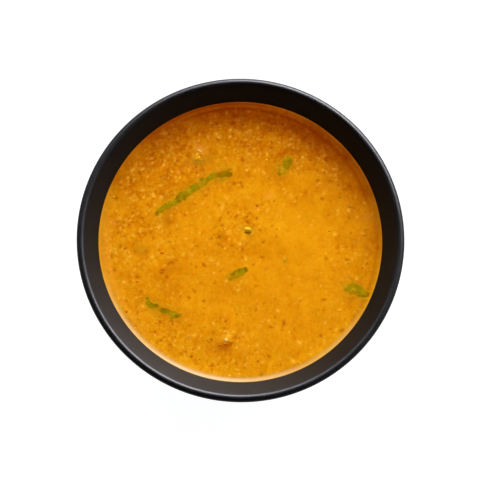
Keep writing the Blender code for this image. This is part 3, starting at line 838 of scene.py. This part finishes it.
def leaf(name, node, line, widths, seed, spots=(), shade=0.5, film=0.0, lift=0.045, thick=0.45, cells=(72, 14),
         ripple=0.012, jag=0.10, lap=0.36, reach=0.95, green=0.0, brown=0.0):
    """A limp strip of leaf or stalk that lies in the surface, its edges lapped by the soup.

    line holds the points of its middle and widths the half widths there, in mm. spots are
    (x, y, shade, green, brown, film): the look of the strip round that place, over the
    overall look that shade, green, brown and film give. Heights in mm."""
    nu, nv = cells
    mid, length = curve(line, nu + 1)
    u = np.linspace(0, 1, nu + 1)
    tangent = np.gradient(mid, axis=0)
    tangent /= np.hypot(*tangent.T)[:, None]
    normal = np.stack((-tangent[:, 1], tangent[:, 0]), -1)
    rng = np.random.default_rng(seed)

    def wobble(size):
        step = max(2, int(length / (size * MM)))
        return np.interp(u, np.linspace(0, 1, step + 1), rng.standard_normal(step + 1))

    half = np.interp(u, np.linspace(0, 1, len(widths)), widths) * MM
    left, right = half * (1 + jag * wobble(1.3)), half * (1 + jag * wobble(1.3))
    v = np.linspace(-1, 1, nv + 1)
    off = np.where(v[None, :] > 0, left[:, None] * v[None, :], right[:, None] * v[None, :])
    pos = mid[:, None, :] + normal[:, None, :] * off[..., None]
    x, y = pos[..., 0], pos[..., 1]
    ends = smooth(np.minimum(u, 1 - u) * length / MM, 0.0, 0.9)[:, None]
    inner = 1.0 - v[None, :] ** 6
    above = lift * (1.0 - 0.5 * v[None, :] ** 2) * (0.4 + 0.6 * ends) + 0.008
    above = above + ripple * (wobble(2.4)[:, None] + 0.7 * v[None, :] * wobble(1.6)[:, None]) * ends * inner
    z = surface(x, y) + above * MM
    body = thick * MM * (0.3 + 0.7 * np.sqrt(np.clip(1 - v[None, :] ** 2, 0, 1)) * (0.2 + 0.8 * ends))
    top = np.stack((x, y, z), -1).reshape(-1, 3)
    low = np.stack((x, y, z - body), -1).reshape(-1, 3)
    m = (nu + 1) * (nv + 1)
    idx = np.arange(m).reshape(nu + 1, nv + 1)
    up = np.stack((idx[:-1, :-1], idx[1:, :-1], idx[1:, 1:], idx[:-1, 1:]), -1).reshape(-1, 4)
    down = up[:, ::-1] + m
    rim = np.concatenate((idx[:-1, 0], idx[-1, :-1], idx[:0:-1, -1], idx[0, :0:-1]))
    # the thin edge has its own corners, so that it doesn't tilt the shading of the top
    here = 2 * m + np.arange(len(rim))
    wall = np.stack((here, np.roll(here, -1), np.roll(here, -1) + len(rim), here + len(rim)), -1)[:, ::-1]
    ob = quads_object(name, np.concatenate((top, low, top[rim], low[rim])), np.concatenate((up, down, wall)), HERB)
    fields = [np.full(x.shape, float(f)) * 0.22 for f in (shade, green, brown, film)]
    weight = np.full(x.shape, 0.22)
    for sx, sy, *look in spots:
        g = np.exp(-((x / MM - sx) ** 2 + (y / MM - sy) ** 2) / reach ** 2)
        weight = weight + g
        fields = [f + g * value for f, value in zip(fields, look)]
    tone, green, brown, film = [f / weight for f in fields]
    tone = tone + 0.05 * wobble(1.0)[:, None]
    # soup laps over the edges, further in at some places than at others
    rag = 0.16 * (wobble(1.1)[:, None] * (v[None, :] > 0) + wobble(1.1)[:, None] * (v[None, :] <= 0))
    edge = smooth(abs(v[None, :]) + rag, 1.0 - lap, 1.02)
    film = np.maximum(film, np.maximum(edge, 1.0 - ends))
    for key, val in (("shade", tone), ("green", green), ("brown", brown), ("film", np.clip(film, 0, 1))):
        val = np.broadcast_to(val, x.shape).reshape(-1)
        put(ob, key, np.concatenate((val, val, val[rim], val[rim])))
    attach(ob, "root")
    if node:
        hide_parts(node)
    return ob


leaf("green_sliver_visual", "green_sliver",
     [(-39.9, 11.8), (-37.4, 13.7), (-34.2, 16.0), (-31.4, 17.9), (-28.6, 19.6), (-25.9, 21.5), (-23.1, 23.6),
      (-20.3, 25.5), (-17.5, 27.2), (-14.7, 28.8), (-11.9, 30.2), (-9.1, 30.8), (-5.8, 31.0), (-3.3, 31.5)],
     [0.7, 1.5, 1.8, 2.1, 2.3, 2.2, 2.1, 2.2, 2.25, 2.0, 1.85, 1.85, 1.65, 1.0], 51,
     # the pale spot at -31.9, 18.6 paints a glint
     [(-39.0, 12.2, 0.10, 0.0, 0.2, 0.0), (-36.6, 14.2, 0.45, 0.2, 0.0, 0.1), (-34.0, 16.2, 0.55, 0.3, 0.0, 0.0),
      (-31.9, 18.6, 0.95, 0.0, 0.0, 0.0), (-30.5, 17.4, 0.72, 0.8, 0.0, 0.0), (-29.0, 17.9, 0.08, 0.2, 0.0, 0.0),
      (-29.6, 20.2, 0.12, 0.2, 0.1, 0.0), (-27.7, 20.3, 0.52, 0.3, 0.0, 0.0), (-25.4, 20.5, 0.12, 0.3, 0.1, 0.0),
      (-26.0, 22.4, 0.45, 0.3, 0.0, 0.1), (-24.0, 23.4, 0.80, 0.2, 0.0, 0.0), (-21.9, 24.0, 0.40, 1.0, 0.0, 0.0),
      (-20.6, 26.0, 0.50, 0.3, 0.0, 0.1), (-18.9, 26.6, 0.80, 0.1, 0.0, 0.0), (-16.6, 27.6, 0.78, 0.1, 0.0, 0.0),
      (-14.2, 29.6, 0.50, 0.8, 0.0, 0.0), (-12.6, 29.2, 0.50, 0.2, 0.0, 0.1), (-10.0, 30.8, 0.12, 0.1, 0.7, 0.1),
      (-7.7, 30.4, 0.22, 0.7, 0.1, 0.0), (-5.6, 31.2, 0.25, 0.3, 0.3, 0.1), (-4.2, 31.3, 0.10, 0.1, 0.3, 0.0)],
     shade=0.45, green=0.25, cells=(120, 16))
leaf("herb_prong", None, [(-11.2, 31.2), (-8.6, 32.0), (-6.0, 32.9), (-3.6, 33.7)], [0.5, 0.95, 1.0, 0.5], 56,
     shade=0.30, brown=0.75, film=0.30, lift=0.03, thick=0.3, cells=(30, 8), lap=0.8)
leaf("green_leaf_right_visual", "green_leaf_right",
     [(47.2, -22.0), (49.2, -22.2), (51.4, -22.8), (53.8, -23.7), (56.2, -24.5), (58.0, -25.2), (59.6, -25.8)],
     [1.6, 2.7, 3.4, 3.1, 2.6, 1.8, 0.8], 52,
     # the dark spots along its -Y edge paint shade
     [(48.5, -21.3, 0.92, 0.0, 0.0, 0.1), (50.4, -22.4, 0.62, 0.6, 0.0, 0.0), (51.9, -22.9, 0.88, 0.1, 0.0, 0.0),
      (51.2, -20.8, 0.45, 0.4, 0.0, 0.2), (52.0, -25.0, 0.40, 0.2, 0.1, 0.35), (54.6, -23.6, 0.55, 0.3, 0.0, 0.0),
      (55.5, -25.1, 0.50, 0.9, 0.0, 0.0), (57.2, -24.4, 0.80, 0.5, 0.0, 0.0), (58.5, -24.0, 0.05, 0.0, 0.6, 0.0),
      (56.4, -26.4, 0.08, 0.1, 0.3, 0.0), (53.6, -26.2, 0.15, 0.1, 0.2, 0.1), (58.9, -25.9, 0.08, 0.1, 0.4, 0.0)],
     shade=0.50, green=0.35, cells=(56, 18), lap=0.34)
leaf("herb_patch", None, [(54.2, -27.4), (56.8, -27.3), (59.3, -27.0)], [0.4, 0.7, 0.4], 57,
     shade=0.80, green=0.2, film=0.25, lift=0.03, thick=0.3, cells=(24, 8), lap=0.8)
leaf("green_stem_left_visual", "green_stem_left",
     [(-43.3, -26.1), (-43.0, -28.2), (-41.6, -29.8), (-39.8, -30.8), (-37.7, -32.0), (-35.2, -32.9), (-32.9, -33.8),
      (-30.1, -34.8), (-26.7, -35.0)],
     [0.8, 1.6, 1.75, 1.6, 1.35, 1.6, 1.85, 1.85, 0.8], 53,
     [(-43.3, -28.4, 0.92, 0.2, 0.0, 0.0), (-42.3, -28.0, 0.20, 0.3, 0.0, 0.0), (-42.1, -29.9, 0.55, 0.9, 0.0, 0.0),
      (-40.9, -29.7, 0.12, 0.4, 0.0, 0.0), (-38.7, -30.4, 0.10, 0.2, 0.2, 0.0), (-40.2, -31.3, 0.45, 0.2, 0.0, 0.1),
      (-38.9, -32.6, 0.90, 0.0, 0.0, 0.2), (-37.4, -32.0, 0.40, 0.0, 0.3, 0.75), (-36.1, -32.2, 0.12, 0.3, 0.1, 0.0),
      (-34.3, -32.6, 0.20, 0.3, 0.1, 0.0), (-33.6, -34.4, 0.50, 0.3, 0.0, 0.1), (-31.5, -34.5, 0.78, 0.1, 0.0, 0.0),
      (-28.8, -35.5, 0.10, 0.2, 0.2, 0.0), (-28.8, -34.1, 0.90, 0.3, 0.0, 0.0), (-27.2, -34.9, 0.50, 0.2, 0.1, 0.1)],
     shade=0.42, green=0.3, cells=(76, 14))
leaf("herb_thread", None, [(-40.2, -33.2), (-39.3, -34.9), (-37.7, -37.3)], [0.3, 0.45, 0.3], 58,
     shade=0.95, film=0.35, lift=0.03, thick=0.3, cells=(24, 8), lap=0.8)
leaf("green_leaf_centre_visual", "green_leaf_centre",
     [(-6.3, -18.0), (-4.2, -17.0), (-1.7, -15.7), (0.7, -14.8), (3.4, -13.2)],
     [1.0, 1.95, 2.2, 2.0, 0.9], 54,
     [(-5.4, -17.0, 0.85, 0.1, 0.0, 0.3), (-5.6, -18.4, 0.45, 0.3, 0.0, 0.1), (-3.8, -15.4, 0.06, 0.1, 0.5, 0.0),
      (-3.3, -17.2, 0.50, 0.4, 0.0, 0.2), (-1.7, -15.5, 0.85, 0.2, 0.0, 0.0), (-1.0, -14.1, 0.12, 0.6, 0.0, 0.0),
      (1.0, -14.9, 0.62, 1.0, 0.0, 0.0), (0.2, -16.0, 0.55, 0.6, 0.0, 0.2), (2.8, -13.5, 0.05, 0.4, 0.0, 0.0)],
     shade=0.50, green=0.4, cells=(48, 14))
leaf("green_leaf_far_visual", "green_leaf_far",
     [(17.0, 30.9), (19.2, 32.9), (20.9, 35.2), (22.1, 37.6), (22.9, 40.3)],
     [1.1, 2.1, 2.5, 2.6, 1.4], 55,
     [(21.3, 39.2, 0.95, 0.0, 0.0, 0.0), (23.2, 39.2, 0.95, 0.0, 0.0, 0.0), (23.2, 37.3, 0.15, 0.4, 0.0, 0.0),
      (21.3, 36.6, 0.52, 0.3, 0.0, 0.0), (19.4, 34.2, 0.88, 0.0, 0.0, 0.15), (19.2, 32.3, 0.85, 0.0, 0.0, 0.3),
      (18.0, 31.1, 0.20, 0.0, 0.4, 0.1)],
     shade=0.42, green=0.3, film=0.04, cells=(48, 14))


# ================================================================ grains and specks
def ball():
    """A small round mesh of 80 triangles."""
    import bmesh
    bm = bmesh.new()
    bmesh.ops.create_icosphere(bm, subdivisions=2, radius=1.0)
    v = np.array([p.co[:] for p in bm.verts])
    f = np.array([[q.index for q in p.verts] for p in bm.faces])
    bm.free()
    return v, f


BALL_V, BALL_F = ball()


class Heap:
    """Grains of one kind, joined into one mesh."""

    def __init__(self, seed):
        self.rng = np.random.default_rng(seed)
        self.verts, self.faces, self.shade, self.film, self.made = [], [], [], [], 0

    def add(self, x, y, radius, stretch, turn, half, stand, shade, film_depth, tilt=0.0, lumpy=0.18, film=0.0):
        """One grain. Lengths in metres; stand is how far its middle is over the surface, as a
        share of its half height."""
        p = BALL_V * (1 + lumpy * self.rng.standard_normal(len(BALL_V)))[:, None]
        px, py, pz = p[:, 0] * radius * stretch, p[:, 1] * radius / stretch, p[:, 2] * half
        c, s = math.cos(turn), math.sin(turn)
        pz = pz + px * tilt
        gx, gy = x + px * c - py * s, y + px * s + py * c
        level = float(surface(np.array([x]), np.array([y]))[0])
        gz = level + pz + half * stand
        above = gz - surface(gx, gy)
        self.verts.append(np.stack((gx, gy, gz), -1))
        self.faces.append(BALL_F + self.made * len(BALL_V))
        self.shade.append(np.full(len(BALL_V), shade))
        self.film.append(np.maximum(film, 1.0 - smooth(above, 0.0, film_depth)))
        self.made += 1

    def done(self, name, look):
        ob = quads_object(name, np.concatenate(self.verts), np.zeros((0, 4), int), look, np.concatenate(self.faces))
        put(ob, "shade", np.concatenate(self.shade))
        put(ob, "film", np.concatenate(self.film))
        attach(ob, "root")
        return ob


def scatter(heap, count, size, spread, flat, stand, tone, film_depth, longer=(1.0, 1.5)):
    """Many small irregular grains, more where it is busy. size is a median radius in mm and
    spread its log deviation, flat the half height as a share of it."""
    rng, made = heap.rng, 0
    while made < count:
        x, y = rng.uniform(-0.066, 0.066, 2)
        if math.hypot(x, y) > 0.0635 or rng.random() > busy_at(x, y):
            continue
        radius = min(size * MM * math.exp(spread * rng.standard_normal()), 2.2 * size * MM)
        heap.add(x, y, radius, rng.uniform(*longer), rng.uniform(0, 2 * math.pi), radius * flat * rng.uniform(0.7, 1.2),
                 rng.uniform(*stand), rng.uniform(*tone), film_depth * MM, rng.uniform(-0.25, 0.25) * flat)
        made += 1


def placed(heap, items, flat=0.24, stand=-0.35, film_depth=0.10, lumpy=0.10):
    """Grains placed one by one: x, y, half length, half width (mm), turn (degrees), shade."""
    for x, y, long, wide, turn, shade in items:
        radius = math.sqrt(long * wide) * MM
        heap.add(x * MM, y * MM, radius, math.sqrt(long / wide), math.radians(turn), radius * flat, stand, shade,
                 film_depth * MM, lumpy=lumpy)


# pale lentil: grains that stand out first, then the fine ones
grains = Heap(61)
placed(grains, [(x, y, 0.62 * a, 0.62 * b, turn, 0.85 * shade) for x, y, a, b, turn, shade in PALE_AT])
scatter(grains, 330, 0.46, 0.22, 0.22, (-0.72, -0.40), (0.1, 0.80), 0.10)
grains.done("lentil_grains", GRAIN)

specks = Heap(62)
placed(specks, [(x, y, 0.66 * a, 0.66 * b, turn, shade) for x, y, a, b, turn, shade in DARK_AT],
       flat=0.22, stand=-0.40, film_depth=0.07)
scatter(specks, 220, 0.32, 0.22, 0.20, (-0.65, -0.40), (0.40, 1.0), 0.06)
specks.done("spice_specks", SPECK)

flakes = Heap(63)
placed(flakes, [(-9.5, -48.7, 0.9, 0.6, 20, 0.40), (-6.8, -48.1, 1.0, 0.6, 5, 0.30), (33.5, 38.0, 0.7, 0.5, 40, 0.95)],
       flat=0.16, stand=-0.35)
scatter(flakes, 34, 0.46, 0.25, 0.18, (-0.6, -0.2), (0.75, 1.0), 0.06)
flakes.done("chilli_flakes", SPECK)

# the olive-dark seed, a pale piece along its +Y side that paints its highlight, a bubble whose near-white colour paints
# its glint, and a translucent onion bit
seeds = Heap(65)
placed(seeds, [(3.5, 3.8, 1.75, 0.85, 178, 0.16)], flat=0.14, stand=-0.05, film_depth=0.03, lumpy=0.05)
seeds.done("dark_seed", HERB)
tops = Heap(66)
placed(tops, [(3.4, 5.2, 1.80, 0.85, 170, 0.85), (-6.7, -46.4, 0.95, 0.75, 90, 1.20), (-19.2, 42.4, 1.35, 0.48, 150, 1.15),
              (-20.2, 38.8, 1.55, 0.92, 25, 0.25)],
       flat=0.16, stand=-0.10, film_depth=0.04, lumpy=0.05)
tops.done("pale_bits_and_highlights", GRAIN)


def crumbs():
    """Small green bits: a few placed one by one, and some that lie anywhere."""
    heap = Heap(64)
    placed(heap, [(46.4, 20.4, 0.70, 0.50, 80, 0.35), (20.5, -9.9, 0.80, 0.50, 60, 0.30), (-9.5, 1.9, 0.9, 0.65, 80, 0.05),
                  (-18.6, 38.0, 0.8, 0.5, 10, 0.45)],
           flat=0.20, stand=-0.40)
    scatter(heap, 14, 0.34, 0.25, 0.20, (-0.6, -0.3), (0.3, 0.8), 0.06)
    ob = heap.done("herb_crumbs", HERB)
    put(ob, "green", np.full(len(ob.data.vertices), 0.45))
    put(ob, "brown", np.zeros(len(ob.data.vertices)))


crumbs()


# ================================================================ stage
def softbox(azimuth, elevation, half_width, half_height, radiance, color):
    """A far softbox, by the angles that it fills, in degrees. It lights the matt part of every
    surface; what the surfaces mirror is the soft bright band of the surround."""
    distance = 2.0
    lamp = bpy.data.lights.new("softbox", "AREA")
    lamp.shape = "RECTANGLE"
    lamp.size = 2.0 * distance * math.tan(math.radians(half_width))
    lamp.size_y = 2.0 * distance * math.tan(math.radians(half_height))
    lamp.energy = radiance * math.pi * lamp.size * lamp.size_y
    lamp.color = color
    ob = bpy.data.objects.new("softbox", lamp)
    bpy.context.scene.collection.objects.link(ob)
    a, e = math.radians(azimuth), math.radians(elevation)
    way = Vector((math.cos(e) * math.sin(a), math.cos(e) * math.cos(a), math.sin(e)))
    ob.location = Vector((0, 0, 0.045)) + way * distance
    ob.rotation_mode = "QUATERNION"
    ob.rotation_quaternion = way.to_track_quat("Z", "Y")
    ob.visible_camera = False
    ob.visible_glossy = False


def by_ray(tree, camera, glossy, other):
    """One shader for what the camera sees, one for glossy reflections and one for all other light."""
    path = tree.nodes.new("ShaderNodeLightPath")
    first, second = tree.nodes.new("ShaderNodeMixShader"), tree.nodes.new("ShaderNodeMixShader")
    tree.links.new(path.outputs["Is Glossy Ray"], first.inputs[0])
    tree.links.new(other, first.inputs[1])
    tree.links.new(glossy, first.inputs[2])
    tree.links.new(path.outputs["Is Camera Ray"], second.inputs[0])
    tree.links.new(first.outputs[0], second.inputs[1])
    tree.links.new(camera, second.inputs[2])
    return second.outputs[0]


AMBIENT = (0.52, 0.235, 0.15)  # light on matt surfaces from all round
SURROUND = 0.03  # what glossy surfaces mirror, away from the band
FLOOR_NEAR, FLOOR_FAR, HORIZON = 0.30, 0.85, 0.25  # the same, of the floor under the bowl and away from it, and low in the room
BAND_UP, BAND_BELOW, BAND_ABOVE = 29.0, 9.5, 24.0  # the band's height, and how far it reaches down and up, in degrees
BAND_AT, BAND_EAST, BAND_WEST = 66.0, 33.0, 37.5  # where its middle is, from +X towards +Y, and its half widths
BAND_FAR, BAND_REST = 104.0, 0.07  # a fainter part of it reaches further round, and its share
BAND_GLOW = 35.0
LOW_UP, LOW_REACH, LOW_SHARE = 5.0, 9.0, 0.28  # a faint part of it lies lower, at its share


def world():
    """A white surround for the eye, and a soft warm room for the light."""
    w = bpy.data.worlds.new("studio")
    bpy.context.scene.world = w
    w.use_nodes = True
    w.cycles.sampling_method = "NONE"
    t = w.node_tree
    t.nodes.clear()
    out = t.nodes.new("ShaderNodeOutputWorld")

    def sky(color, strength):
        n = t.nodes.new("ShaderNodeBackground")
        n.inputs["Color"].default_value = (*color, 1)
        if isinstance(strength, bpy.types.NodeSocket):
            t.links.new(strength, n.inputs["Strength"])
        else:
            n.inputs["Strength"].default_value = strength
        return n.outputs[0]

    def calc(op, a, b=0.0, c=0.0):
        n = t.nodes.new("ShaderNodeMath")
        n.operation = op
        for socket, value in zip(n.inputs, (a, b, c)):
            if isinstance(value, bpy.types.NodeSocket):
                t.links.new(value, socket)
            else:
                socket.default_value = value
        return n.outputs[0]

    # the surround that surfaces mirror: dim, with one soft wide band of light, in degrees
    way = t.nodes.new("ShaderNodeSeparateXYZ")
    t.links.new(t.nodes.new("ShaderNodeTexCoord").outputs["Generated"], way.inputs[0])
    up = calc("DEGREES", calc("ARCSINE", way.outputs["Z"]))
    around = calc("DEGREES", calc("ARCTAN2", way.outputs["Y"], way.outputs["X"]))
    def hump(distance, reach, power):
        return calc("EXPONENT", calc("MULTIPLY", calc("POWER", calc("DIVIDE", distance, reach), power), -1.0))

    lean = calc("SUBTRACT", up, BAND_UP)
    reach = calc("MULTIPLY_ADD", calc("GREATER_THAN", lean, 0.0), BAND_ABOVE - BAND_BELOW, BAND_BELOW)
    tall = hump(calc("ABSOLUTE", lean), reach, 2.8)
    tall = calc("MULTIPLY_ADD", hump(calc("ABSOLUTE", calc("SUBTRACT", up, LOW_UP)), LOW_REACH, 2.0), LOW_SHARE, tall)
    # the angle round from the band's middle, wrapped to -180 .. 180
    turn = calc("WRAP", calc("SUBTRACT", around, BAND_AT), 180.0, -180.0)
    side = calc("MULTIPLY_ADD", calc("GREATER_THAN", turn, 0.0), BAND_WEST - BAND_EAST, BAND_EAST)
    turn = calc("ABSOLUTE", turn)
    wide = calc("MULTIPLY_ADD", hump(turn, side, 2.4), 1.0 - BAND_REST,
                calc("MULTIPLY", hump(turn, BAND_FAR, 4.0), BAND_REST))
    mirror = calc("MULTIPLY_ADD", calc("MULTIPLY", tall, wide), BAND_GLOW, SURROUND)
    mirror = calc("MULTIPLY_ADD", hump(calc("ABSOLUTE", up), 3.0, 2.0), HORIZON, mirror)
    t.links.new(by_ray(t, sky((1, 1, 1), 1.0), sky((0.985, 0.99, 1.045), mirror), sky(AMBIENT, 1.0)), out.inputs[0])


def floor():
    mat = bpy.data.materials.new("pale_floor")
    mat.use_nodes = True
    t = mat.node_tree
    bsdf = t.nodes["Principled BSDF"]
    bsdf.inputs["Base Color"].default_value = (0.14, 0.14, 0.14, 1)
    bsdf.inputs["Roughness"].default_value = 0.9
    bsdf.inputs["Specular IOR Level"].default_value = 0.0
    glow, dim = t.nodes.new("ShaderNodeEmission"), t.nodes.new("ShaderNodeEmission")
    glow.inputs["Color"].default_value = (0.94, 0.97, 0.985, 1)
    glow.inputs["Strength"].default_value = 1.0
    # what the outside of the bowl mirrors of it, less near the bowl
    away = t.nodes.new("ShaderNodeVectorMath")
    away.operation = "LENGTH"
    t.links.new(t.nodes.new("ShaderNodeNewGeometry").outputs["Position"], away.inputs[0])
    shade = t.nodes.new("ShaderNodeMapRange")
    shade.interpolation_type = "SMOOTHSTEP"
    for name, value in (("From Min", 0.03), ("From Max", 0.17), ("To Min", FLOOR_NEAR), ("To Max", FLOOR_FAR)):
        shade.inputs[name].default_value = value
    t.links.new(away.outputs["Value"], shade.inputs["Value"])
    t.links.new(shade.outputs["Result"], dim.inputs["Strength"])
    add = t.nodes.new("ShaderNodeAddShader")
    t.links.new(bsdf.outputs[0], add.inputs[0])
    t.links.new(glow.outputs[0], add.inputs[1])
    t.links.new(by_ray(t, add.outputs[0], dim.outputs[0], bsdf.outputs[0]), t.nodes["Material Output"].inputs[0])
    r, n = 14.0, 96
    verts = [(0, 0, 0)] + [(r * math.cos(2 * math.pi * k / n), r * math.sin(2 * math.pi * k / n), 0) for k in range(n)]
    ob = mesh_object("floor", verts, [(0, 1 + k, 1 + (k + 1) % n) for k in range(n)], mat)


def camera():
    cam = bpy.data.cameras.new("camera")
    cam.sensor_fit = "HORIZONTAL"
    cam.sensor_width = 36.0
    cam.lens = 36.0 * 1316.5 / 480.0
    cam.clip_start, cam.clip_end = 0.01, 60.0
    ob = bpy.data.objects.new("camera", cam)
    bpy.context.scene.collection.objects.link(ob)
    right, up, ahead = Vector((0.99991, -0.00113, 0.01367)), Vector((-0.00113, 0.98640, 0.16434)), Vector((0.01367, 0.16434, -0.98631))
    rot = Matrix((right, up, -ahead)).transposed().to_4x4()
    ob.matrix_world = Matrix.Translation((-0.008612, -0.100190, 0.646785)) @ rot
    bpy.context.scene.camera = ob


softbox(15.9, 22.2, 33.0, 11.0, 11.8, (1.0, 1.06, 1.02))
world()
floor()
camera()
bpy.context.scene.view_settings.view_transform = "Standard"
bpy.context.scene.view_settings.gamma = 0.80
